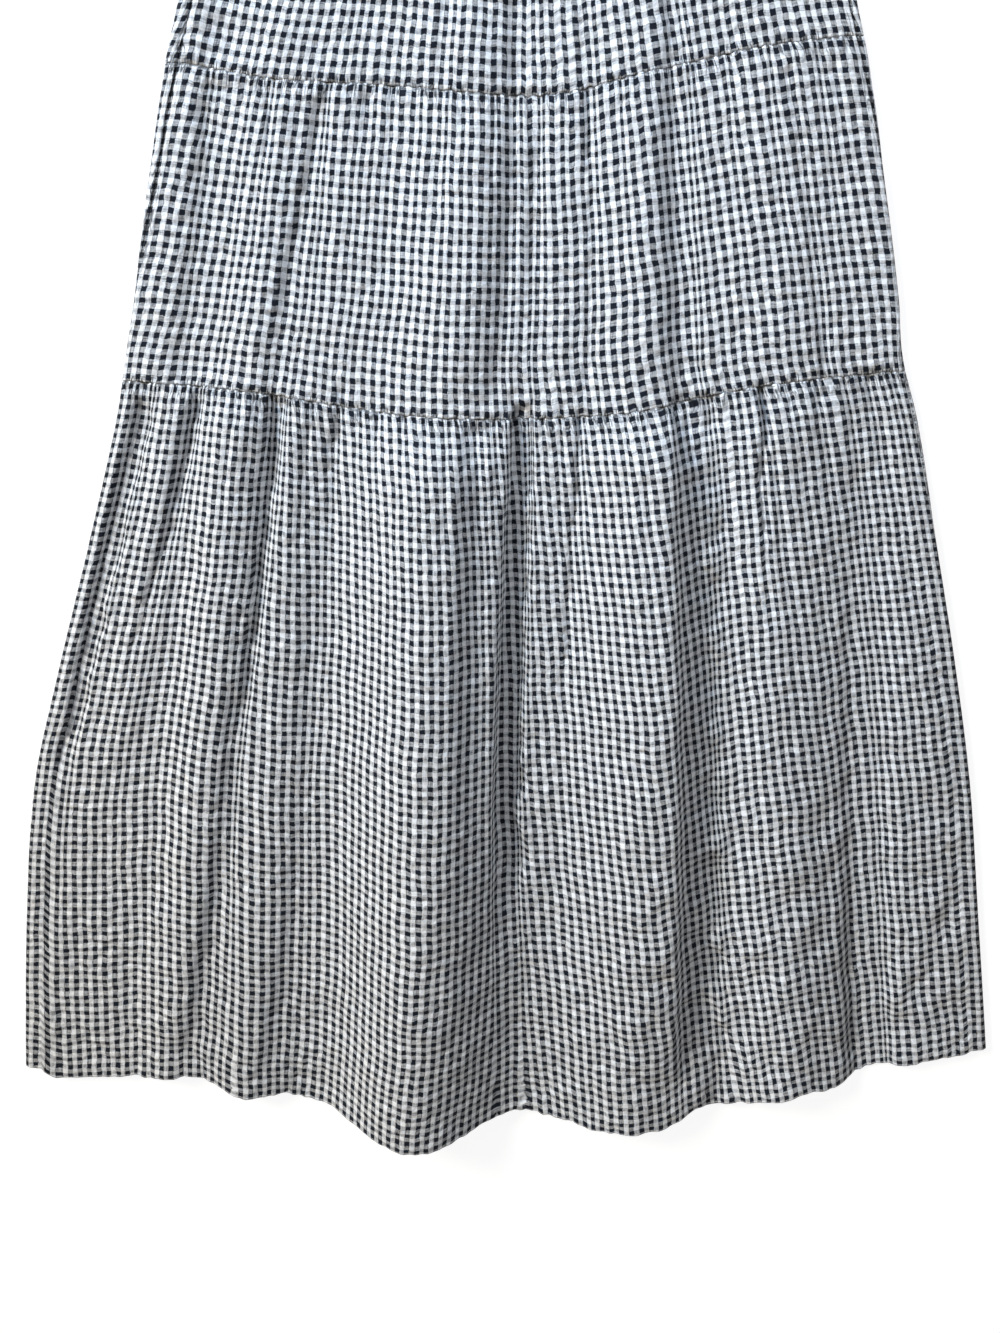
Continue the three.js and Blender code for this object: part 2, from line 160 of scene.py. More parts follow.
# Creases: narrow grooves that fall off at the left and rise again at the right. "edge" is the width
# of the left fall, "wide" that of the floor, "back" that of the right rise, "deep" the depth at the
# start, middle and end, "lip" the height of the left rim, and "taken" the cloth that the groove swallows.
CREASES = table(
    "start end fadeOut x0 x1 x2 deep0 deep1 deep2 edge wide0 wide2 back lip taken",
    (318, 412, 10, -45, -48, -53, 2, 3, 3, 5, 7, 8, 6, 0, 3),
    (318, 412, 10, 0, -1, -1, 4, 5, 5, 9, 14, 15, 8, 0, 3),
    (318, 412, 10, 42, 45, 50, 2, 2, 4, 5, 8, 9, 5, 0, 3),
    (318, 402, 10, 103, 105, 107, 3, 4, 5, 5, 10, 12, 6, 1, 4),
    (318, 400, 10, -201, -204, -210, 5, 6, 6, 24, 10, 12, 44, 3, 2),
    (402, 626, 24, -212, -230, -252, 6, 7, 8, 24, 10, 10, 44, 3, 3),
    (406, 606, 80, -131, -156, -180, 4, 4, 2, 7, 6, 10, 7, 1, 5),
    (408, 520, 60, -55, -57, -59, 3, 3, 2, 5, 7, 7, 7, 0, 3),
    (408, 640, 30, -4, -8, -20, 4, 4, 4, 12, 9, 8, 8, 0, 4),
    (408, 580, 50, 12, 13, 13, 4, 5, 2, 9, 8, 8, 6, 0, 4),
    (406, 632, 20, 51, 56, 53, 5, 3, 2.5, 5, 7, 5, 4, 1, 4),
    (398, 632, 16, 106, 112, 121, 5, 5, 5, 17, 12, 14, 16, 1, 8),
    (393, 632, 20, 188, 212, 232, 3, 2, 6, 3, 4, 10, 3, 0, 4),
    (388, 470, 40, 221, 227, 236, 3, 2, 2, 3, 5, 5, 3, 0, 2),
    (404, 470, 40, -103, -106, -112, 3, 3, 2, 3, 6, 6, 4, 0, 3),
    (404, 480, 50, -172, -173, -176, 3, 3, 2, 3, 6, 6, 4, 0, 3),
    (624, 960, 110, -276, -328, -375, 10, 12, 9, 4, 12, 11, 5, 2, 9),
    (620, 884, 130, -234, -273, -320, 10, 4, 1, 4, 7, 9, 6, 2, 9),
    (622, 930, 150, -178, -199, -226, 11, 8, 6, 4, 9, 6, 6, 3, 12),
    (850, 1215, 40, -218, -248, -287, 2, 3, 3, 9, 8, 12, 10, 0, 6),
    (640, 940, 120, -150, -153, -160, 3, 4, 2, 40, 10, 10, 40, 0, 0),
    (780, 1215, 60, -163, -177, -222, 1, 2, 3, 10, 6, 10, 10, 0, 4),
    (640, 990, 120, -36, -38, -39, 5, 5, 4, 14, 14, 16, 10, 0, 4),
    (628, 1110, 190, 3, -11, -13, 15, 20, 12, 4, 14, 24, 5, 3, 18),
    (630, 905, 90, 51, 44, 40, 5, 4, 2, 3, 5, 5, 3, 0, 4),
    (618, 1215, 70, 119, 134, 144, 8, 8, 14, 9, 24, 30, 12, 1, 12),
    (612, 820, 80, 184, 189, 203, 8, 4, 2, 3, 5, 6, 3, 1, 5),
    (600, 1225, 60, 256, 273, 299, 6, 12, 23, 26, 12, 16, 26, 0, 9),
    (612, 700, 50, -130, -134, -141, 3, 3, 2, 3, 6, 5, 4, 1, 4),
)
MIDDLE_LINE = (OUTLINE["left"][0] + OUTLINE["right"][0]) / 2
STRAP_COLUMNS = 17
STRAP_ROWS = 181
STRAP_PATH = table(
    "down level across",
    (168, 6.1, 84), (148, 6.1, 86), (124, 3.9, 87), (96, 2.7, 88), (48, 2.7, 90), (18, 4.6, 91),
    (8, 5.8, 92),
)
STRAP_BACK_PATH = table(
    "down level across",
    (8, 0.75, 92), (30, 0.75, 91), (90, 0.75, 88), (150, 0.75, 86), (170, 2.6, 85), (205, 2.6, 84),
)

# ---- Gathers: pinches that start at the line a piece is gathered on ----
# "lean" is the drift across for each 100 mm down, "deep" the depth at the line, "reach" how far the
# pinch runs down, and "wide" its half width at the line.
GATHER_COLUMNS = "across lean deep reach wide"
HIP_GATHERS = table(
    GATHER_COLUMNS,
    (-271, -34, 4.5, 380, 4.0),
    (-258, -30, 2.0, 60, 2.6),
    (-246, -30, 2.5, 90, 2.8),
    (-232, -31, 4.5, 360, 4.0),
    (-217, -24, 2.4, 100, 3.0),
    (-199, -22, 3.0, 190, 3.4),
    (-187, -18, 2.0, 60, 2.6),
    (-176, -17, 5.0, 430, 4.2),
    (-164, -16, 2.6, 90, 3.0),
    (-147, -13, 3.0, 220, 3.4),
    (-125, -12, 3.0, 160, 3.2),
    (-111, -9, 2.0, 60, 2.6),
    (-96, -8, 3.0, 180, 3.2),
    (-78, -7, 3.0, 120, 3.2),
    (-62, -5, 2.2, 70, 2.8),
    (-46, -4, 3.0, 240, 3.4),
    (-24, -3, 4.0, 400, 4.0),
    (-10, -3, 2.6, 120, 3.0),
    (12, -6, 6.0, 430, 4.0),
    (24, -2, 2.6, 90, 2.8),
    (38, 0, 2.4, 130, 3.0),
    (57, -3, 4.0, 300, 3.6),
    (72, 2, 2.4, 80, 2.8),
    (85, 4, 2.8, 150, 3.2),
    (99, 5, 3.2, 260, 3.4),
    (114, 6, 2.4, 80, 2.8),
    (131, 10, 5.0, 430, 4.2),
    (150, 12, 3.0, 200, 3.4),
    (168, 14, 2.4, 100, 3.0),
    (187, 17, 4.2, 360, 3.8),
    (206, 19, 2.6, 120, 3.0),
    (224, 23, 2.8, 220, 3.4),
    (246, 26, 2.6, 140, 3.0),
    (265, 30, 4.0, 400, 4.0),
    (281, 33, 2.6, 160, 3.0),
)
WAIST_GATHERS = table(
    GATHER_COLUMNS,
    (-207, -16, 1.4, 120, 3.0),
    (-165, -18, 2.2, 220, 3.2),
    (-126, -11, 2.2, 210, 3.2),
    (-104, -8, 1.2, 50, 2.6),
    (-93, -5, 2.0, 130, 2.8),
    (-83, -5, 2.4, 230, 3.0),
    (-62, -4, 1.3, 60, 2.6),
    (-43, -3, 2.0, 110, 2.8),
    (-31, -3, 1.8, 70, 2.6),
    (-10, -4, 2.6, 230, 3.0),
    (3, -6, 2.4, 230, 3.0),
    (22, -5, 2.6, 230, 3.0),
    (38, 0, 1.4, 60, 2.6),
    (52, 1, 2.8, 230, 3.0),
    (78, 3, 1.8, 120, 2.8),
    (112, 7, 2.8, 230, 3.2),
    (129, 8, 1.8, 90, 2.8),
    (150, 11, 1.6, 130, 2.8),
    (177, 15, 2.0, 200, 3.0),
    (211, 17, 1.6, 150, 3.0),
)
NECK_GATHERS = table(
    GATHER_COLUMNS,
    (-75, -12, 2.0, 110, 2.6),
    (-51, -8, 3.6, 200, 3.2),
    (-31, -5, 2.2, 130, 2.6),
    (-10, -1, 3.4, 230, 3.2),
    (14, 2, 3.0, 180, 2.8),
    (37, 6, 2.2, 140, 2.6),
    (58, 9, 3.6, 190, 3.2),
    (81, 13, 2.0, 120, 2.8),
)

# ---- The cut cloth: width and length ----
CHECK = 8.0                     # one dark and one white stripe
BODICE_CUT = (63 * CHECK, 0)    # as long as the shaped piece
UPPER_CUT = (79 * CHECK, 28 * CHECK)
LOWER_CUT = (110 * CHECK, 79 * CHECK)
NECK_FULLNESS = 90.0            # extra width gathered into the neckline
HEM_TURN = 12.0                 # cloth turned up inside the hem
EDGE_TURN = 7.0                 # the same at the neckline and armholes
STRAP_STITCH = 2.5              # how far inside a strap's edges it is stitched

# ---- Small relief ----
BLISTER_HEIGHT = 0.0034         # metres
STITCH_LENGTH = 0.0026          # metres
WARP_THREADS = 10               # threads drawn for each check
WEFT_THREADS = 11
WAVE_COUNT = 28                 # waves in each noise
EDGE_COLUMNS = 8                # grid columns round each rolled side
END_ROWS = (0.0, 0.35, 0.8, 1.4, 2.1, 3.0, 4.2, 5.8, 7.8)   # rows close to a sewn or turned edge
CREASE_EDGE = 2.5               # creases fade this close to the rolled side
CREASE_FADE_IN = 12
LIP_REACH = 13
PINCH_SPREAD = 0.03             # widening of a pinch's hidden cloth for each millimetre down
GATHER_PUFF = 3.4               # how high gathered cloth puffs up below its seam
PUFF_START = 5
PUFF_END = 60
PLEAT_HEIGHT = 1.5
PLEAT_REACH = 10                # short pleats fade out this far below a gathered seam
DIVE_DEPTH = 1.9                # cloth turns down this far into a sewn line
DIVE_REACH = 2.2
TURN_PROUD = 0.55               # a turned edge stands this far proud of single cloth
TURN_STEP = 1.6                 # over which it rises
SIDE_SEAM_SHARE = 2.5           # a side seam's wrinkles are this many times shorter
LOWER_SEAM_SHARE = 2.5          # and those above a seam
FAR = 60.0                      # beyond the reach of any seam's wrinkles


# ---- Curves, noise ----
def smooth(t):
    """0 before 0 and 1 after 1, with a soft step between."""
    c = np.clip(t, 0.0, 1.0)
    return c * c * (3.0 - 2.0 * c)


def lerp(a, b, t):
    return a + (b - a) * t


def curve(rows, x_key, y_key, x):
    """A smooth curve through a table's rows, straight beyond both ends."""
    xs, ys = rows[x_key], rows[y_key]
    x = np.asarray(x, float)
    slopes = np.empty_like(xs)
    slopes[1:-1] = (ys[2:] - ys[:-2]) / (xs[2:] - xs[:-2])
    slopes[0] = (ys[1] - ys[0]) / (xs[1] - xs[0])
    slopes[-1] = (ys[-1] - ys[-2]) / (xs[-1] - xs[-2])
    inner = np.clip(x, xs[0], xs[-1])
    i = np.clip(np.searchsorted(xs, inner, side="right") - 1, 0, len(xs) - 2)
    step = xs[i + 1] - xs[i]
    t = (inner - xs[i]) / step
    t2 = t * t
    t3 = t2 * t
    value = (2 * t3 - 3 * t2 + 1) * ys[i] + (t3 - 2 * t2 + t) * step * slopes[i]
    value = value + (3 * t2 - 2 * t3) * ys[i + 1] + (t3 - t2) * step * slopes[i + 1]
    return value + slopes[0] * np.minimum(x - xs[0], 0) + slopes[-1] * np.maximum(x - xs[-1], 0)


def through(start, middle, end, t):
    """A parabola through three values at the start, middle and end of a run."""
    return start * (1 - t) * (1 - 2 * t) + 4 * middle * t * (1 - t) + end * t * (2 * t - 1)


def waves(x, y, shortest, longest, seed, stretch=1.0):
    """Smooth seeded noise of mixed wavelengths, mostly from -1 to 1; "stretch" lengthens it across."""
    draw = np.random.default_rng(seed).uniform(0, 1, (3, WAVE_COUNT))
    turn = 2 * math.pi * draw[0]
    length = shortest * (longest / shortest) ** draw[1]
    total = np.zeros(np.broadcast(x, y).shape)
    for k in range(WAVE_COUNT):
        run = (x / stretch * math.cos(turn[k]) + y * math.sin(turn[k])) / length[k] + draw[2, k]
        total += np.sin(2 * math.pi * run)
    return total / math.sqrt(2 * WAVE_COUNT)


def along_noise(down, shortest, longest, seed):
    """The same, for a line that runs down the dress."""
    draw = np.random.default_rng(seed).uniform(0, 1, (2, WAVE_COUNT))
    length = shortest * (longest / shortest) ** draw[0]
    total = np.zeros_like(down)
    for k in range(WAVE_COUNT):
        total += np.sin(2 * math.pi * (down / length[k] + draw[1, k]))
    return total / math.sqrt(2 * WAVE_COUNT)


# ---- The lie of the cloth ----
def fold_sum(folds, across, down):
    """Height of all the wide folds together at a place."""
    total = np.zeros_like(across)
    for k in range(len(folds["start"])):
        f = {name: column[k] for name, column in folds.items()}
        t = (down - f["start"]) / (f["end"] - f["start"])
        offset = across - through(f["x0"], f["x1"], f["x2"], t)
        reach = np.where(offset < 0, lerp(f["left0"], f["left2"], t), lerp(f["right0"], f["right2"], t))
        rise = through(f["rise0"], f["rise1"], f["rise2"], t)
        fade = smooth((down - f["start"]) / f["fadeIn"]) * smooth((f["end"] - down) / f["fadeOut"])
        share = np.clip(np.abs(offset) / np.maximum(reach, 1), 0, 1)
        total += np.where((t > 0) & (t < 1), rise * fade * 0.5 * (1 + np.cos(np.pi * share)), 0)
    return total


def seam_hold(across, down):
    """Share of a fold's height that is left beside the tier seams."""
    held = 0
    for seam in (WAIST_SEAM, HIP_SEAM):
        distance = (down - curve(seam, "across", "down", across)) / SEAM_HOLD_REACH
        held = held + SEAM_HOLD * np.exp(-distance * distance)
    return 1 - held


def back_rise(across, down, inside):
    """Height of the back over the surface."""
    return fold_sum(BACK_FOLDS, across, down) * smooth(inside / LIFT_FADE)


def gather_parts(gathers, across, below):
    """How deep the pinches are at a place, and the share of the spare cloth gathered left of it."""
    depth = np.zeros_like(across)
    gathered = np.zeros_like(across)
    shares = np.gradient(gathers["across"]) / np.sum(np.gradient(gathers["across"]))
    for k in range(len(gathers["across"])):
        g = {name: column[k] for name, column in gathers.items()}
        run = np.clip(below / g["reach"], 0, 1)
        fade = (1 - run) ** 1.2
        wander = 1.6 * along_noise(below, 30, 120, 40 + k)
        offset = across - (g["across"] + g["lean"] * below / 100 + wander * smooth(below / 30))
        share = offset / (g["wide"] * (1 + 1.3 * run))
        depth += g["deep"] * fade / (1 + share * share) ** 1.5
        gathered += shares[k] * 0.5 * (1 + np.tanh(offset / (g["wide"] + PINCH_SPREAD * below)))
    return depth, gathered


def crease_parts(across, down):
    """How deep the creases are at a place, less their lips, and the cloth that they have swallowed."""
    depth = np.zeros_like(across)
    taken = np.zeros_like(across)
    for k in range(len(CREASES["start"])):
        c = {name: column[k] for name, column in CREASES.items()}
        length = c["end"] - c["start"]
        t = np.clip((down - c["start"]) / length, 0, 1)
        fade = smooth(t * length / CREASE_FADE_IN) * smooth((1 - t) * length / c["fadeOut"])
        wander = 1.3 * along_noise(down, 35, 120, 300 + k)
        offset = across - through(c["x0"], c["x1"], c["x2"], t) - wander
        wide = lerp(c["wide0"], c["wide2"], t) * (1 + 0.2 * along_noise(down, 25, 90, 340 + k))
        deep = through(c["deep0"], c["deep1"], c["deep2"], t) * (1 + 0.2 * along_noise(down, 20, 70, 380 + k))
        drop = smooth(offset / c["edge"] + 0.5)
        floor = 1 - 0.3 * np.clip(offset / wide, 0, 1)
        groove = drop * floor * (1 - smooth((offset - wide) / c["back"]))
        rim = c["lip"] * np.exp(np.minimum(offset, 0) / LIP_REACH) * (1 - drop)
        depth += fade * (deep * groove - rim)
        taken += c["taken"] * fade * 0.5 * (1 + np.tanh((offset - wide - c["back"] / 2) / 1.5))
    return depth, taken


def limited(loft):
    """The front's height over the back, kept above it with a soft stop."""
    return 0.5 * (loft + np.sqrt(loft * loft + ROUNDING * ROUNDING))


def inset_of(arc):
    """How far inside the outline a point lies, by its run of cloth from the outermost line."""
    run = np.abs(arc)
    rolled = ROLL_RADIUS * (1 - np.cos(np.minimum(run, QUARTER) / ROLL_RADIUS))
    return np.where(run < QUARTER, rolled, ROLL_RADIUS + run - QUARTER)


def top_edge(corner_down, neck_depth):
    """Height of a bodice's top edge at a share across it: neckline, strap corner, armhole."""
    def edge(share):
        s = np.minimum(1, np.abs(share))
        neck = corner_down + neck_depth * (1 - (s / STRAP_CORNER) ** 2)
        reach = np.clip((1 - s) / (1 - STRAP_CORNER), 0, 1)
        arm = corner_down + (UNDERARM - corner_down) * np.sqrt(1 - reach * reach)
        return np.where(s <= STRAP_CORNER, neck, arm)
    return edge


def sewn_line(line):
    """A sewn line at a share across it, measured between its own ends, and slightly uneven."""
    left, right = line["across"][0], line["across"][-1]

    def place(share):
        across = lerp(left, right, (np.clip(share, -1, 1) + 1) / 2)
        return curve(line, "across", "down", across) + UNEVEN * along_noise(across, 8, 22, 70)
    return place


WAIST, HIP, HEMLINE = (sewn_line(line) for line in (WAIST_SEAM, HIP_SEAM, HEM))


class Panel:
    """One cut piece: where it starts and ends, which way it faces, and how it is sewn and gathered."""

    def __init__(self, top, bottom, front, cut, columns, rows, gathers=None, gathered_on=None,
                 sewn_top=True, sewn_bottom=True, drops=False, neck_columns=0, fullness=0):
        self.top, self.bottom = top, bottom
        self.front = front
        self.cut = cut
        self.columns, self.rows = columns, rows
        self.gathers, self.gathered_on = gathers, gathered_on
        self.sewn_top, self.sewn_bottom = sewn_top, sewn_bottom
        self.drops = drops
        self.neck_columns = neck_columns
        self.fullness = fullness


def shares_across(panel):
    """Places of the grid's columns across the panel; a bodice has columns set closer at the armholes."""
    if not panel.neck_columns:
        return np.linspace(-1, 1, panel.columns + 1)
    arm_columns = (panel.columns - panel.neck_columns) // 2
    turn = np.linspace(0, math.pi / 2, arm_columns, endpoint=False)
    arm = 1 - (1 - STRAP_CORNER) * np.cos(math.pi / 2 - turn)
    neck = np.linspace(-STRAP_CORNER, STRAP_CORNER, panel.neck_columns + 1)
    return np.concatenate([-arm, neck, arm[::-1]])


def rows_down(panel, height):
    """Places of the grid's rows down the panel, set closer near both ends."""
    ends = np.array(END_ROWS) / height
    middle = np.linspace(ends[-1], 1 - ends[-1], panel.rows - 2 * (len(ends) - 1) + 1)
    return np.concatenate([ends[:-1], middle, 1 - ends[:-1][::-1]])


def lay(panel, crinkle):
    """The middle of the panel's cloth as a grid of places, and its place on the cut cloth."""
    middle = shares_across(panel)
    side = np.concatenate([-np.ones(EDGE_COLUMNS), np.zeros(len(middle)), np.ones(EDGE_COLUMNS)])
    share = np.concatenate([-np.ones(EDGE_COLUMNS), middle, np.ones(EDGE_COLUMNS)])
    inward = np.linspace(0, 1, EDGE_COLUMNS, endpoint=False)
    inward = np.concatenate([inward, np.zeros(len(middle)), inward[::-1]])
    start, finish = panel.top(share) + SEAM_GAP / 2, panel.bottom(share) - SEAM_GAP / 2
    row = rows_down(panel, float(np.mean(finish - start)))
    down = lerp(start[None, :], finish[None, :], row[:, None])
    row = np.repeat(row[:, None], down.shape[1], axis=1)
    side, share, inward = (np.broadcast_to(values, down.shape) for values in (side, share, inward))
    face = 1 if panel.front else -1

    left = curve(OUTLINE, "down", "left", down)
    right = curve(OUTLINE, "down", "right", down)
    left_wrap = curve(OUTLINE, "down", "leftWrap", down)
    right_wrap = curve(OUTLINE, "down", "rightWrap", down)
    wrap = np.clip(np.where(side < 0, left_wrap, right_wrap), 0, MOST_WRAP)
    arc = lerp(wrap + face * SEAM_GAP / 2, face * EDGE_REACH, inward)
    inset = np.where(side == 0, inset_of(EDGE_REACH), inset_of(arc))
    across = np.where(side == 0, lerp(left + inset, right - inset, (share + 1) / 2),
                      np.where(side < 0, left + inset, right - inset))
    inside = np.where(side == 0, np.minimum(across - left, right - across), inset) - ROLL_RADIUS
    rolled = (side != 0) & (np.abs(arc) < QUARTER)
    on_front = np.where(side == 0, panel.front, arc > 0)

    from_top = down - start[None, :]
    from_bottom = finish[None, :] - down
    calm = smooth(inside / LIFT_FADE)
    rest = back_rise(across, down, inside)
    folds = fold_sum(FRONT_FOLDS, across, down) * seam_hold(across, down)
    depth, taken = np.zeros_like(across), np.zeros_like(across)
    if panel.front:
        depth, taken = crease_parts(across, down)
        depth = depth * smooth(inside / CREASE_EDGE)
    puffs, gathered = 0.0, (share + 1) / 2
    if panel.gathers is not None:
        below = np.maximum(down - panel.gathered_on(share), 0)
        pinch, gathered = gather_parts(panel.gathers, across, below)
        pleats = PLEAT_HEIGHT * waves(across, 0.3 * down, 6, 11, 9) * np.exp(-below / PLEAT_REACH)
        puff = GATHER_PUFF * (1 - np.exp(-below / PUFF_START)) * np.exp(-below / PUFF_END)
        puffs = calm * (puff - pinch + pleats)

    # Broad wrinkles grow towards the hem, and most at the lower right.
    lower, right_side = smooth((down - 800) / 250), smooth((across - 60) / 120)
    wild = 0.55 + 0.75 * lower * right_side + 0.35 * smooth((down - 900) / 200)
    small = waves(across, down, 9, 17, 3, 1.3)
    broad = waves(across, down, 32, 95, 5, 0.8)
    plain = folds * calm - depth
    folds = plain + puffs + crinkle * (0.5 * small + 1.5 * wild * broad) * calm
    plain = np.where(on_front, rest + limited(FRONT_LEVEL - FRONT_REST - rest + plain), rest)
    front_level = FRONT_REST + rest + limited(FRONT_LEVEL - FRONT_REST - rest + folds)
    front_level = front_level + 0.25 * crinkle * (small + 1) * calm
    back_level = CLOTH / 2 + rest + 0.12 * crinkle * (small + 1) * calm
    level = np.where(on_front, front_level, back_level)

    # The cloth turns down into a sewn line.
    dive = np.zeros_like(level)
    for sewn, distance in ((panel.sewn_top, from_top), (panel.sewn_bottom, from_bottom)):
        if sewn:
            dive += DIVE_DEPTH * (1 - np.sqrt(1 - (1 - np.clip(distance / DIVE_REACH, 0, 1)) ** 2))
    floor = CLOTH + 0.75 + rest
    level = np.where(on_front, np.maximum(level - dive, np.minimum(level, floor)), level)

    # A turned and stitched edge is double, so it stands a little proud of the single cloth.
    ends = ((panel.sewn_top, from_top, EDGE_TURN), (panel.sewn_bottom, from_bottom, HEM_TURN))
    for sewn, distance, turn in ends:
        if not sewn:
            proud = TURN_PROUD * smooth((turn + 1.0 - distance) / TURN_STEP)
            level = level + np.where(on_front, proud, 0.35 * proud)

    drop = HEM_DROP * (level - FRONT_LEVEL) * row if panel.drops else 0.0
    y = -down - np.where(on_front, drop, 0)
    roll = ROLL_CENTRE + ROLL_RADIUS * np.sin(np.clip(arc, -QUARTER, QUARTER) / ROLL_RADIUS)
    places = np.stack([across, np.where(rolled, -down, y), np.where(rolled, roll, level)], axis=-1)
    gathered_top = panel.sewn_top or panel.gathers is not None
    seam_near = np.where(gathered_top, from_top, FAR)
    seam_near = np.minimum(seam_near, LOWER_SEAM_SHARE * from_bottom if panel.sewn_bottom else FAR)
    from_side = np.where(side == 0, FAR, inward * (EDGE_REACH - face * wrap))
    seam_near = np.minimum(seam_near, SIDE_SEAM_SHARE * from_side)
    turned_near = np.full_like(from_top, FAR) if panel.sewn_top else from_top
    turned_near = turned_near if panel.sewn_bottom else np.minimum(turned_near, from_bottom)
    edges = np.stack([np.minimum(seam_near, FAR), np.minimum(turned_near, FAR)], axis=-1)
    cloth = cut_places(panel, across, np.where(rolled, roll, plain), taken, gathered, row, from_bottom)
    return places, np.concatenate([cloth, edges], axis=-1)


def evened(values, row, terms):
    """Evened out along the grain, so that the warp runs straight or in one long curve."""
    basis = np.vander(row[:, 0], terms)
    return basis @ np.linalg.lstsq(basis, values, rcond=None)[0]


def cut_places(panel, across, plain, taken, gathered, row, from_bottom):
    """Where each place lies on the cut cloth: along the gathered width, and down the grain."""
    steps = np.hypot(np.diff(across, axis=1), np.diff(plain, axis=1))
    along = np.concatenate([np.zeros((len(steps), 1)), np.cumsum(steps, axis=1)], axis=1)
    along = along + taken - taken[:, :1]
    spare = panel.fullness * (1 - row[:, :1]) if panel.neck_columns else panel.cut[0] - along[:, -1:]
    along = along + (gathered - gathered[:, :1]) * np.maximum(spare, 0)
    along = evened(along, row, 3 if panel.drops else 2)
    width = along[:, -1:]
    if panel.neck_columns:
        u = (along - width / 2) * panel.cut[0] / np.median(width)
        v = -from_bottom
    else:
        u = (along / width - 0.5) * panel.cut[0]
        v = -(1 - row) * panel.cut[1]
    # The weave is never quite even: it strays a little over short and long distances.
    stray_u = 0.30 * waves(u, v, 9, 20, 21) + 0.7 * waves(u, v, 40, 120, 23)
    stray_v = 0.30 * waves(u, v, 9, 20, 22) + 0.7 * waves(u, v, 40, 120, 24)
    return np.stack([u + stray_u, v + stray_v], axis=-1)


# ---- Thin closed shells ----
def grid_normals(places, up):
    """Upward normals of a grid of places, or downward ones."""
    along = np.gradient(places, axis=1)
    downward = np.gradient(places, axis=0)
    normal = np.cross(downward, along)
    normal /= np.maximum(np.linalg.norm(normal, axis=-1, keepdims=True), 1e-9)
    return normal if up else -normal


def soften(places):
    """Each inner place moved to the mean of its neighbourhood."""
    out = places.copy()
    core = places[1:-1, 1:-1]
    around = places[:-2, 1:-1] + places[2:, 1:-1] + places[1:-1, :-2] + places[1:-1, 2:]
    out[1:-1, 1:-1] = 0.5 * core + 0.125 * around
    return out


def shell(name, places, cloth, up, outer, inner, rounding=0.9):
    """A closed shell: a fine outer layer, an inner layer with every second line, and rounded rims."""
    rows, columns = places.shape[0] - 1, places.shape[1] - 1
    normal = grid_normals(places, up)
    to_rim = rim_distance(places)
    body = np.sqrt(1 - (1 - np.clip(to_rim / rounding, 0.06, 1)) ** 2)[..., None]
    out = places + normal * outer * body
    soft = soften(soften(places))
    back = (soft - grid_normals(soft, up) * inner * body)[::2, ::2]
    points = np.concatenate([out.reshape(-1, 3), back.reshape(-1, 3)])
    cuts = np.concatenate([cloth.reshape(-1, 4), cloth[::2, ::2].reshape(-1, 4)])
    o = np.arange((rows + 1) * (columns + 1)).reshape(rows + 1, columns + 1)
    n = o.size + np.arange(back.shape[0] * back.shape[1]).reshape(back.shape[0], back.shape[1])
    quads = [np.stack([o[:-1, :-1], o[1:, :-1], o[1:, 1:], o[:-1, 1:]], -1).reshape(-1, 4)]
    quads.append(np.stack([n[:-1, :-1], n[:-1, 1:], n[1:, 1:], n[1:, :-1]], -1).reshape(-1, 4))
    triangles = []
    rims = (
        (o[0, :], n[0, :], True), (o[-1, :], n[-1, :], False),
        (o[:, 0], n[:, 0], False), (o[:, -1], n[:, -1], True),
    )
    for fine, coarse, forward in rims:
        a, m, b = fine[:-1:2], fine[1::2], fine[2::2]
        p, q = coarse[:-1], coarse[1:]
        for three in ((a, m, p), (m, q, p), (m, b, q)):
            ordered = three if forward else three[::-1]
            triangles.append(np.stack(ordered, -1))
    quads, triangles = np.concatenate(quads), np.concatenate(triangles)
    if not up:
        quads, triangles = quads[:, ::-1], triangles[:, ::-1]

    # The baked map has the outer layer in its upper three quarters and the inner one at the lower left.
    grid_u = np.tile(np.linspace(0, 1, columns + 1), rows + 1)
    grid_v = np.repeat(np.linspace(0, 1, rows + 1), columns + 1)
    small_u = np.tile(np.linspace(0, 1, back.shape[1]), back.shape[0])
    small_v = np.repeat(np.linspace(0, 1, back.shape[0]), back.shape[1])
    bake = np.concatenate([
        np.stack([0.005 + 0.99 * grid_u, 0.985 - 0.735 * grid_v], -1),
        np.stack([0.005 + 0.49 * small_u, 0.235 - 0.23 * small_v], -1),
    ])
    return make_object(name, points, [quads, triangles], cuts, bake)


def rim_distance(places):
    """Distance of each place from the nearest rim of its grid, along the grid."""
    def run(axis):
        steps = np.linalg.norm(np.diff(places, axis=axis), axis=-1)
        zero = np.zeros_like(np.take(steps, [0], axis=axis))
        along = np.concatenate([zero, np.cumsum(steps, axis=axis)], axis=axis)
        total = np.take(along, [-1], axis=axis)
        return np.minimum(along, total - along)
    return np.minimum(run(0), run(1))


def row_shift():
    """From the dress's own lines to the frame: the straps' shared middle and their folded end."""
    low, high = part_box("strap_right")
    strap_middle = MIDDLE_LINE + (STRAP_PATH["across"].min() + STRAP_PATH["across"].max()) / 2
    fold_end = STRAP_BACK_PATH["down"][0] - STRAP_FOLD_REACH - CLOTH / 2
    return np.array([(low.x + high.x) / 2 / MM - strap_middle, high.y / MM + fold_end, 0.0])


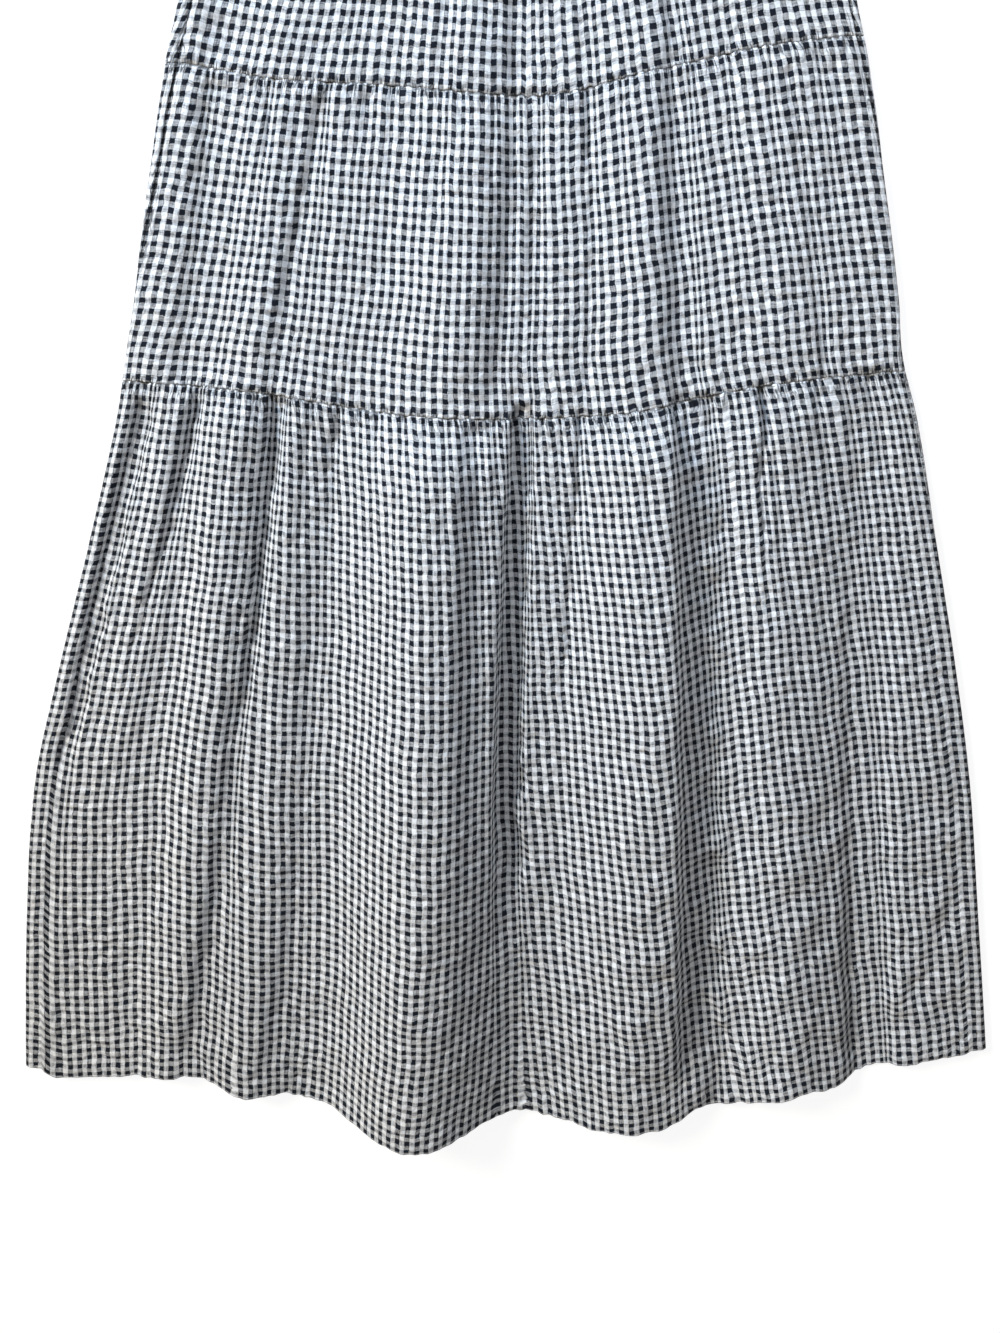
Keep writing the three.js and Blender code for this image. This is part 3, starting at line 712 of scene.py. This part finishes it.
def make_object(name, points, face_sets, cuts, bake):
    """A smooth-shaded object with the cut cloth, the distances to its edges and the bake as UV layers."""
    mesh = bpy.data.meshes.new(name)
    faces = [face for faces in face_sets for face in faces.tolist()]
    mesh.from_pydata(((points + row_shift()) * MM).tolist(), [], faces)
    corners = np.empty(len(mesh.loops), np.int32)
    mesh.loops.foreach_get("vertex_index", corners)
    for layer_name, values in (("cloth", cuts[:, :2] * MM), ("edges", cuts[:, 2:] * MM), ("OFBake", bake)):
        layer = mesh.uv_layers.new(name=layer_name)
        layer.data.foreach_set("uv", values[corners].astype(np.float32).ravel())
    mesh.polygons.foreach_set("use_smooth", np.ones(len(mesh.polygons), bool))
    mesh.update()
    piece = bpy.data.objects.new(name, mesh)
    bpy.context.scene.collection.objects.link(piece)
    return piece


# ---- Shader pieces ----
def node(tree, kind, **settings):
    """A new shader node with some of its settings."""
    made = tree.nodes.new(kind)
    for key, value in settings.items():
        setattr(made, key, value)
    return made


def feed(tree, socket, value):
    """Link a socket, or set its constant."""
    if isinstance(value, bpy.types.NodeSocket):
        tree.links.new(value, socket)
    else:
        socket.default_value = value


def calc(tree, operation, *values):
    made = node(tree, "ShaderNodeMath", operation=operation)
    for socket, value in zip(made.inputs, values):
        feed(tree, socket, value)
    return made.outputs[0]


def ramp(tree, value, low, high):
    """0 below low and 1 above high, with a soft step between; low may be above high."""
    made = node(tree, "ShaderNodeMapRange", interpolation_type="SMOOTHSTEP")
    feed(tree, made.inputs["Value"], value)
    made.inputs["From Min"].default_value = min(low, high)
    made.inputs["From Max"].default_value = max(low, high)
    made.inputs["To Min"].default_value = 0.0 if low < high else 1.0
    made.inputs["To Max"].default_value = 1.0 if low < high else 0.0
    return made.outputs["Result"]


def blend_colours(tree, share, a, b, mode="MIX"):
    made = node(tree, "ShaderNodeMix", data_type="RGBA", blend_type=mode)
    feed(tree, made.inputs[0], share)
    feed(tree, made.inputs[6], a)
    feed(tree, made.inputs[7], b)
    return made.outputs[2]


def noise(tree, vector, scale, detail=2.0, roughness=0.5):
    made = node(tree, "ShaderNodeTexNoise", noise_dimensions="3D")
    feed(tree, made.inputs["Vector"], vector)
    made.inputs["Scale"].default_value = scale
    made.inputs["Detail"].default_value = detail
    made.inputs["Roughness"].default_value = roughness
    return made.outputs["Fac"]


def scaled(tree, vector, x, y):
    """A vector stretched across and along the cloth."""
    made = node(tree, "ShaderNodeVectorMath", operation="MULTIPLY")
    feed(tree, made.inputs[0], vector)
    made.inputs[1].default_value = (x, y, 1.0)
    return made.outputs[0]


def new_group(name, inputs, outputs):
    """A shader node group with named sockets: the group, and the sockets inside it."""
    group = bpy.data.node_groups.new(name, "ShaderNodeTree")
    for label, kind, value in inputs:
        socket = group.interface.new_socket(label, in_out="INPUT", socket_type=kind)
        if value is not None:
            socket.default_value = value
    for label, kind in outputs:
        group.interface.new_socket(label, in_out="OUTPUT", socket_type=kind)
    return group, node(group, "NodeGroupInput").outputs, node(group, "NodeGroupOutput").inputs


def gingham_group():
    """Plain-woven gingham: dark and white yarns in both directions, crossing as four tones."""
    if "gingham weave" in bpy.data.node_groups:
        return bpy.data.node_groups["gingham weave"]
    tree, given, made = new_group(
        "gingham weave",
        [("Cloth", "NodeSocketVector", None), ("Repeat", "NodeSocketFloat", 0.008),
         ("White Yarn", "NodeSocketColor", (0.8, 0.8, 0.8, 1)),
         ("Dark Yarn", "NodeSocketColor", (0.01, 0.01, 0.03, 1))],
        [("Color", "NodeSocketColor"), ("White Warp", "NodeSocketFloat"), ("Threads", "NodeSocketFloat")],
    )
    split = node(tree, "ShaderNodeSeparateXYZ")
    feed(tree, split.inputs[0], given["Cloth"])
    u = calc(tree, "DIVIDE", split.outputs[0], given["Repeat"])
    v = calc(tree, "DIVIDE", split.outputs[1], given["Repeat"])
    # A dark stripe takes half of each repeat, and its edges are slightly ragged.
    ragged = calc(tree, "MULTIPLY", calc(tree, "SUBTRACT", noise(tree, given["Cloth"], 420, 1.0), 0.5), 0.16)
    centre_u = calc(tree, "ABSOLUTE", calc(tree, "SUBTRACT", calc(tree, "FRACT", u), 0.5))
    centre_v = calc(tree, "ABSOLUTE", calc(tree, "SUBTRACT", calc(tree, "FRACT", v), 0.5))
    warp_dark = ramp(tree, calc(tree, "ADD", centre_u, ragged), 0.278, 0.228)
    weft_dark = ramp(tree, calc(tree, "SUBTRACT", centre_v, ragged), 0.272, 0.222)
    warp = blend_colours(tree, warp_dark, given["White Yarn"], given["Dark Yarn"])
    weft = blend_colours(tree, weft_dark, given["White Yarn"], given["Dark Yarn"])
    # Which yarn lies on top changes thread by thread; the warp covers more than half.
    thread_u = calc(tree, "SINE", calc(tree, "MULTIPLY", u, 2 * math.pi * WARP_THREADS))
    thread_v = calc(tree, "SINE", calc(tree, "MULTIPLY", v, 2 * math.pi * WEFT_THREADS))
    over = calc(tree, "MULTIPLY", thread_u, thread_v)
    line = calc(tree, "MULTIPLY", ramp(tree, centre_v, 0.10, 0.03), calc(tree, "SUBTRACT", 1.0, warp_dark))
    cover = calc(tree, "MULTIPLY_ADD", over, 0.07, 0.62)
    cover = calc(tree, "SUBTRACT", cover, calc(tree, "MULTIPLY", line, 0.14))
    # Slubs: short thick stretches of single yarns.
    slub_warp = noise(tree, scaled(tree, given["Cloth"], 1.0, 0.12), 900, 2.0)
    slub_weft = noise(tree, scaled(tree, given["Cloth"], 0.12, 1.0), 900, 2.0)
    slubs = calc(tree, "SUBTRACT", slub_warp, slub_weft)
    cover = calc(tree, "MULTIPLY_ADD", slubs, 0.9, cover)
    colour = blend_colours(tree, calc(tree, "MINIMUM", calc(tree, "MAXIMUM", cover, 0.0), 1.0), weft, warp)
    # The cloth is a little lighter and darker from place to place.
    tone = calc(tree, "MULTIPLY_ADD", noise(tree, given["Cloth"], 130, 3.0), 0.34, 0.75)
    tone = calc(tree, "MULTIPLY_ADD", noise(tree, given["Cloth"], 900, 2.0), 0.12, tone)
    toned = node(tree, "ShaderNodeVectorMath", operation="SCALE")
    feed(tree, toned.inputs[0], colour)
    feed(tree, toned.inputs["Scale"], tone)
    feed(tree, made["Color"], toned.outputs[0])
    feed(tree, made["White Warp"], calc(tree, "SUBTRACT", 1.0, warp_dark))
    feed(tree, made["Threads"], over)
    return tree


def sewn_group():
    """Relief and painted shade of sewing: short wrinkles by a gathered seam, a stitched line in a turned
    edge.
    """
    if "sewn relief and painted shade" in bpy.data.node_groups:
        return bpy.data.node_groups["sewn relief and painted shade"]
    tree, given, made = new_group(
        "sewn relief and painted shade",
        [("Cloth", "NodeSocketVector", None), ("Edges", "NodeSocketVector", None),
         ("Stitch Line", "NodeSocketFloat", 0.0115)],
        [("Height", "NodeSocketFloat"), ("Shade", "NodeSocketFloat")],
    )
    split = node(tree, "ShaderNodeSeparateXYZ")
    feed(tree, split.inputs[0], given["Edges"])
    seam, turned = split.outputs[0], split.outputs[1]
    # Short wrinkles run away from a gathered seam and fade out over 30 mm.
    pleats = noise(tree, scaled(tree, given["Cloth"], 1.0, 0.16), 210, 2.0, 0.45)
    near = calc(tree, "MULTIPLY", ramp(tree, seam, 0.030, 0.002), ramp(tree, seam, -0.001, 0.002))
    height = calc(tree, "MULTIPLY", calc(tree, "SUBTRACT", pleats, 0.5), near)
    # The stitches of a turned edge press a dotted line into it.
    place = node(tree, "ShaderNodeSeparateXYZ")
    feed(tree, place.inputs[0], given["Cloth"])
    off_line = calc(tree, "ABSOLUTE", calc(tree, "SUBTRACT", turned, given["Stitch Line"]))
    dent = ramp(tree, off_line, 0.0011, 0.0002)
    thread = calc(tree, "SINE", calc(tree, "MULTIPLY", place.outputs[0], 2 * math.pi / STITCH_LENGTH))
    dent = calc(tree, "MULTIPLY", dent, calc(tree, "MULTIPLY_ADD", thread, 0.35, 0.65))
    feed(tree, made["Height"], calc(tree, "MULTIPLY_ADD", dent, -0.12, height))
    # Painted shade: thin dark lines run down from the seam where the cloth doubles over and shades itself.
    curl_shade = ramp(tree, calc(tree, "ABSOLUTE", calc(tree, "SUBTRACT", pleats, 0.47)), 0.042, 0.014)
    patches = ramp(tree, noise(tree, given["Cloth"], 45, 1.0), 0.41, 0.48)
    curl_shade = calc(tree, "MULTIPLY", calc(tree, "MULTIPLY", curl_shade, patches), ramp(tree, seam, 0.015, 0.004))
    # Painted shadow: the seam itself shows as dark dashes, the shade in its groove.
    dashes = ramp(tree, noise(tree, scaled(tree, given["Cloth"], 0.8, 1.2), 330, 1.0), 0.46, 0.53)
    seam_shadow = calc(tree, "MULTIPLY", ramp(tree, seam, 0.0028, 0.0012), dashes)
    # Painted shadow: a turned edge has a faint dark rim where the cloth rolls down into shade.
    edge = calc(tree, "MULTIPLY", ramp(tree, turned, 0.0017, 0.0003), 0.45)
    shade = calc(tree, "MAXIMUM", calc(tree, "MULTIPLY", curl_shade, 0.8), calc(tree, "MULTIPLY", seam_shadow, 0.7))
    shade = calc(tree, "MAXIMUM", shade, edge)
    feed(tree, made["Shade"], calc(tree, "SUBTRACT", 1.0, shade))
    return tree


def cloth_material(settings):
    """The one cloth: woven checks, small wrinkles, the relief of sewing and its painted shade."""
    if "crinkled gingham" in bpy.data.materials:
        return bpy.data.materials["crinkled gingham"]
    material = bpy.data.materials.new("crinkled gingham")
    material.use_nodes = True
    tree = material.node_tree
    shader = tree.nodes["Principled BSDF"]
    place = node(tree, "ShaderNodeUVMap", uv_map="cloth").outputs["UV"]
    weave = node(tree, "ShaderNodeGroup", node_tree=gingham_group())
    feed(tree, weave.inputs["Cloth"], place)
    weave.inputs["Repeat"].default_value = settings.check_repeat
    weave.inputs["White Yarn"].default_value = (*settings.white_yarn, 1)
    weave.inputs["Dark Yarn"].default_value = (*settings.dark_yarn, 1)
    sewn = node(tree, "ShaderNodeGroup", node_tree=sewn_group())
    feed(tree, sewn.inputs["Cloth"], place)
    feed(tree, sewn.inputs["Edges"], node(tree, "ShaderNodeUVMap", uv_map="edges").outputs["UV"])
    # The woven colour is darkened by painted shade at seams, pinches and turned edges.
    shaded = node(tree, "ShaderNodeVectorMath", operation="SCALE")
    feed(tree, shaded.inputs[0], weave.outputs["Color"])
    feed(tree, shaded.inputs["Scale"], sewn.outputs["Shade"])
    feed(tree, shader.inputs["Base Color"], shaded.outputs[0])
    # White warp stripes are woven slack, so they blister between the flat dark ones.
    blister = noise(tree, scaled(tree, place, 0.8, 1.15), 150, 3.0, 0.6)
    wrinkle = noise(tree, scaled(tree, place, 0.7, 1.0), 75, 2.0, 0.5)
    slack = calc(tree, "MULTIPLY_ADD", weave.outputs["White Warp"], 0.5, 0.5)
    height = calc(tree, "MULTIPLY", blister, slack)
    height = calc(tree, "MULTIPLY_ADD", wrinkle, 0.6, height)
    height = calc(tree, "MULTIPLY_ADD", weave.outputs["Threads"], 0.03, height)
    height = calc(tree, "MULTIPLY_ADD", sewn.outputs["Height"], 1.6, height)
    bump = node(tree, "ShaderNodeBump")
    bump.inputs["Strength"].default_value = settings.blister
    bump.inputs["Distance"].default_value = BLISTER_HEIGHT
    feed(tree, bump.inputs["Height"], height)
    feed(tree, shader.inputs["Normal"], bump.outputs["Normal"])
    rough = calc(tree, "MULTIPLY_ADD", weave.outputs["Threads"], 0.04, 0.86)
    feed(tree, shader.inputs["Roughness"], rough)
    shader.inputs["Sheen Weight"].default_value = 0.03
    shader.inputs["Sheen Roughness"].default_value = 0.5
    shader.inputs["Specular IOR Level"].default_value = 0.2
    return material


FRONT_NECK = top_edge(FRONT_TOP, NECK_DEPTH)
BACK_NECK = top_edge(BACK_TOP, BACK_NECK_DEPTH)
PANELS = {
    "bodice_front": Panel(FRONT_NECK, WAIST, True, BODICE_CUT, 216, 112, NECK_GATHERS, FRONT_NECK,
                          sewn_top=False, neck_columns=128, fullness=NECK_FULLNESS),
    "bodice_back": Panel(BACK_NECK, WAIST, False, BODICE_CUT, 136, 72, sewn_top=False, neck_columns=80),
    "upper_tier_front": Panel(WAIST, HIP, True, UPPER_CUT, 280, 112, WAIST_GATHERS, WAIST),
    "upper_tier_back": Panel(WAIST, HIP, False, UPPER_CUT, 160, 64),
    "lower_tier_front": Panel(HIP, HEMLINE, True, LOWER_CUT, 320, 232, HIP_GATHERS, HIP,
                              sewn_bottom=False, drops=True),
    "lower_tier_back": Panel(HIP, HEMLINE, False, LOWER_CUT, 200, 150, sewn_bottom=False),
}


def build_panel(name, settings):
    """One cut piece of the dress as it lies."""
    panel = PANELS[name]
    places, cloth = lay(panel, settings.crinkle)
    inner = settings.cloth_thickness / MM - CLOTH / 2
    piece = shell(name + "_cloth", places, cloth, panel.front, CLOTH / 2, inner)
    piece.data.materials.append(cloth_material(settings))
    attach(piece, BODY)
    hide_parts(name)
    return piece


# ---- Straps ----
def strap_line():
    """Middle line of a strap, from inside the front neckline over the fold to inside the back one."""
    shoulder = {key: column[0] for key, column in STRAP_BACK_PATH.items()}
    angles = np.arange(1, 4) * math.pi / 4
    fold = {
        "down": shoulder["down"] - STRAP_FOLD_REACH * np.sin(angles),
        "level": shoulder["level"] + STRAP_FOLD_RADIUS * (1 + np.cos(angles)),
        "across": np.full(3, shoulder["across"]),
    }
    route = {key: np.concatenate([STRAP_PATH[key], fold[key], STRAP_BACK_PATH[key]]) for key in fold}
    points = np.stack([route["across"], -route["down"], route["level"]], -1)
    run = np.concatenate([[0], np.cumsum(np.linalg.norm(np.diff(points, axis=0), axis=1))])
    rows = {"run": run, "x": points[:, 0], "y": points[:, 1], "z": points[:, 2]}
    along = np.linspace(0, run[-1], STRAP_ROWS)
    return np.stack([curve(rows, "run", key, along) for key in "xyz"], -1), along


def build_strap(side, settings):
    """One strap: side is -1 for the left and 1 for the right."""
    line, along = strap_line()
    shares = np.sin(np.linspace(-math.pi / 2, math.pi / 2, STRAP_COLUMNS)) / 2
    tangent = np.gradient(line, axis=0)
    normal = np.stack([np.zeros(len(line)), -tangent[:, 2], tangent[:, 1]], -1)
    normal /= np.linalg.norm(normal, axis=1, keepdims=True)
    places = np.repeat(line[:, None, :], len(shares), axis=1)
    places[..., 0] = MIDDLE_LINE + side * line[:, None, 0] + shares[None, :] * (STRAP_WIDTH - 2 * SEAM_GAP)
    run = np.repeat(along[:, None], STRAP_COLUMNS, 1)
    pucker = 0.16 * settings.crinkle * waves(places[..., 0], run, 7, 16, 60 + side)
    places += normal[:, None, :] * pucker[..., None]
    from_edge = (0.5 - np.abs(shares)) * STRAP_WIDTH + EDGE_TURN - STRAP_STITCH
    cloth = np.stack([
        np.repeat(shares[None, :] * STRAP_WIDTH, len(line), 0), -run,
        np.full(places.shape[:2], FAR), np.repeat(from_edge[None, :], len(line), 0),
    ], -1)
    name = "strap_right" if side > 0 else "strap_left"
    piece = shell(name + "_cloth", places, cloth, False, CLOTH / 2, CLOTH / 2)
    piece.data.materials.append(cloth_material(settings))
    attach(piece, BODY)
    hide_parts(name)
    return piece


# ---- Stage ----
def build_floor():
    """A pale floor, bright enough to leave only faint shadows."""
    mesh = bpy.data.meshes.new("floor")
    half = 6.0
    corners = [(-half, -half, 0), (half, -half, 0), (half, half, 0), (-half, half, 0)]
    mesh.from_pydata(corners, [], [(0, 1, 2, 3)])
    floor = bpy.data.objects.new("floor", mesh)
    bpy.context.scene.collection.objects.link(floor)
    material = bpy.data.materials.new("pale floor")
    material.use_nodes = True
    shader = material.node_tree.nodes["Principled BSDF"]
    shader.inputs["Base Color"].default_value = (0.2, 0.2, 0.2, 1)
    shader.inputs["Roughness"].default_value = 0.9
    shader.inputs["Emission Color"].default_value = (1, 1, 1, 1)
    shader.inputs["Emission Strength"].default_value = 0.88
    mesh.materials.append(material)


def add_area_light(name, location, target, size, spread, power, colour):
    data = bpy.data.lights.new(name, "AREA")
    data.shape = "SQUARE"
    data.size = size
    data.spread = math.radians(spread)
    data.energy = power
    data.color = colour
    light = bpy.data.objects.new(name, data)
    light.location = location
    light.rotation_euler = (Vector(target) - Vector(location)).to_track_quat("-Z", "Y").to_euler()
    bpy.context.scene.collection.objects.link(light)


def build_camera():
    """The camera stands over the dress and leans towards the hem."""
    data = bpy.data.cameras.new("camera")
    data.sensor_width = 36.0
    data.lens = 38.0
    camera = bpy.data.objects.new("camera", data)
    camera.location = (-0.0055, 0.115, 1.0646)
    camera.rotation_euler = (math.radians(-17.2), 0, 0)
    bpy.context.scene.collection.objects.link(camera)
    bpy.context.scene.camera = camera


class DressSettings(bpy.types.PropertyGroup):
    """Sizes and colours of the dress."""

    cloth_thickness: bpy.props.FloatProperty(
        name="Cloth Thickness", description="Thickness of the crinkled cloth", default=0.0012,
        min=0.0008, max=0.0015, unit="LENGTH")
    check_repeat: bpy.props.FloatProperty(
        name="Check Repeat", description="Width of one dark and one white stripe", default=CHECK * MM,
        min=0.002, max=0.05, unit="LENGTH")
    crinkle: bpy.props.FloatProperty(
        name="Crinkle", description="Height of the small wrinkles of the cloth, as a share of the usual",
        default=1.0, min=0.0, max=2.0, subtype="FACTOR")
    blister: bpy.props.FloatProperty(
        name="Blister", description="Strength of the puckers between the flat stripes",
        default=0.8, min=0.0, max=1.0, subtype="FACTOR")
    white_yarn: bpy.props.FloatVectorProperty(
        name="White Yarn", description="Colour of the white yarn", subtype="COLOR", size=3,
        default=(0.84, 0.84, 0.85), min=0.0, max=1.0)
    dark_yarn: bpy.props.FloatVectorProperty(
        name="Dark Yarn", description="Colour of the dark yarn", subtype="COLOR", size=3,
        default=(0.0050, 0.0078, 0.0155), min=0.0, max=1.0)
    key_power: bpy.props.FloatProperty(
        name="Key Light", description="Power of the large light on the left", default=17.8, min=0.0)
    cool_power: bpy.props.FloatProperty(
        name="Cool Light", description="Power of the bluish light beyond the left strap",
        default=2.1, min=0.0)
    shoulder_power: bpy.props.FloatProperty(
        name="Shoulder Light", description="Power of the small light beyond the right strap",
        default=0.8, min=0.0)
    fill: bpy.props.FloatProperty(
        name="Fill Light", description="Strength of the even light from all round", default=0.26, min=0.0)


class DRESS_OT_bodice(bpy.types.Operator):
    """Build the front and back of the bodice"""

    bl_idname = "dress.bodice"
    bl_label = "Bodice"

    def execute(self, context):
        for name in ("bodice_back", "bodice_front"):
            build_panel(name, context.scene.dress)
        return {"FINISHED"}


class DRESS_OT_upper_tier(bpy.types.Operator):
    """Build the front and back of the upper tier"""

    bl_idname = "dress.upper_tier"
    bl_label = "Upper Tier"

    def execute(self, context):
        for name in ("upper_tier_back", "upper_tier_front"):
            build_panel(name, context.scene.dress)
        return {"FINISHED"}


class DRESS_OT_lower_tier(bpy.types.Operator):
    """Build the front and back of the lower tier"""

    bl_idname = "dress.lower_tier"
    bl_label = "Lower Tier"

    def execute(self, context):
        for name in ("lower_tier_back", "lower_tier_front"):
            build_panel(name, context.scene.dress)
        return {"FINISHED"}


class DRESS_OT_straps(bpy.types.Operator):
    """Build both shoulder straps"""

    bl_idname = "dress.straps"
    bl_label = "Straps"

    def execute(self, context):
        for side in (-1, 1):
            build_strap(side, context.scene.dress)
        return {"FINISHED"}


class DRESS_OT_stage(bpy.types.Operator):
    """Build the floor, the soft light and the camera"""

    bl_idname = "dress.stage"
    bl_label = "Stage"

    def execute(self, context):
        settings = context.scene.dress
        build_floor()
        build_camera()
        add_area_light("key", (-2.4, 1.6, 2.05), (-0.10, 0.03, 0), 1.0, 60,
                       settings.key_power, (1.0, 0.93, 0.81))
        add_area_light("cool", (-1.0, 1.35, 0.9), (0, 0.13, 0), 0.6, 50,
                       settings.cool_power, (0.12, 0.5, 1.0))
        add_area_light("shoulder", (0.6, 1.15, 0.75), (0.05, 0.25, 0), 0.4, 50,
                       settings.shoulder_power, (0.72, 0.84, 1.0))
        world = bpy.data.worlds.new("studio")
        world.use_nodes = True
        background = world.node_tree.nodes["Background"]
        background.inputs["Color"].default_value = (1.0, 0.99, 0.98, 1)
        background.inputs["Strength"].default_value = settings.fill
        context.scene.world = world
        context.scene.view_settings.view_transform = "Standard"
        return {"FINISHED"}


STEPS = (DRESS_OT_stage, DRESS_OT_bodice, DRESS_OT_upper_tier, DRESS_OT_lower_tier, DRESS_OT_straps)


class DRESS_PT_sidebar(bpy.types.Panel):
    """Sizes, colours and building steps of the dress"""

    bl_idname = "DRESS_PT_sidebar"
    bl_label = "Tiered Sundress"
    bl_space_type = "VIEW_3D"
    bl_region_type = "UI"
    bl_category = "Dress"

    def draw(self, context):
        for name in DressSettings.__annotations__:
            self.layout.prop(context.scene.dress, name)
        for step in STEPS:
            self.layout.operator(step.bl_idname)


CLASSES = (DressSettings, *STEPS, DRESS_PT_sidebar)


def register():
    for each in CLASSES:
        bpy.utils.register_class(each)
    bpy.types.Scene.dress = bpy.props.PointerProperty(type=DressSettings)


def unregister():
    del bpy.types.Scene.dress
    for each in reversed(CLASSES):
        bpy.utils.unregister_class(each)


def main():
    register()
    bpy.ops.dress.stage()
    bpy.ops.dress.bodice()
    bpy.ops.dress.upper_tier()
    bpy.ops.dress.lower_tier()
    bpy.ops.dress.straps()


if __name__ == "__main__":
    main()
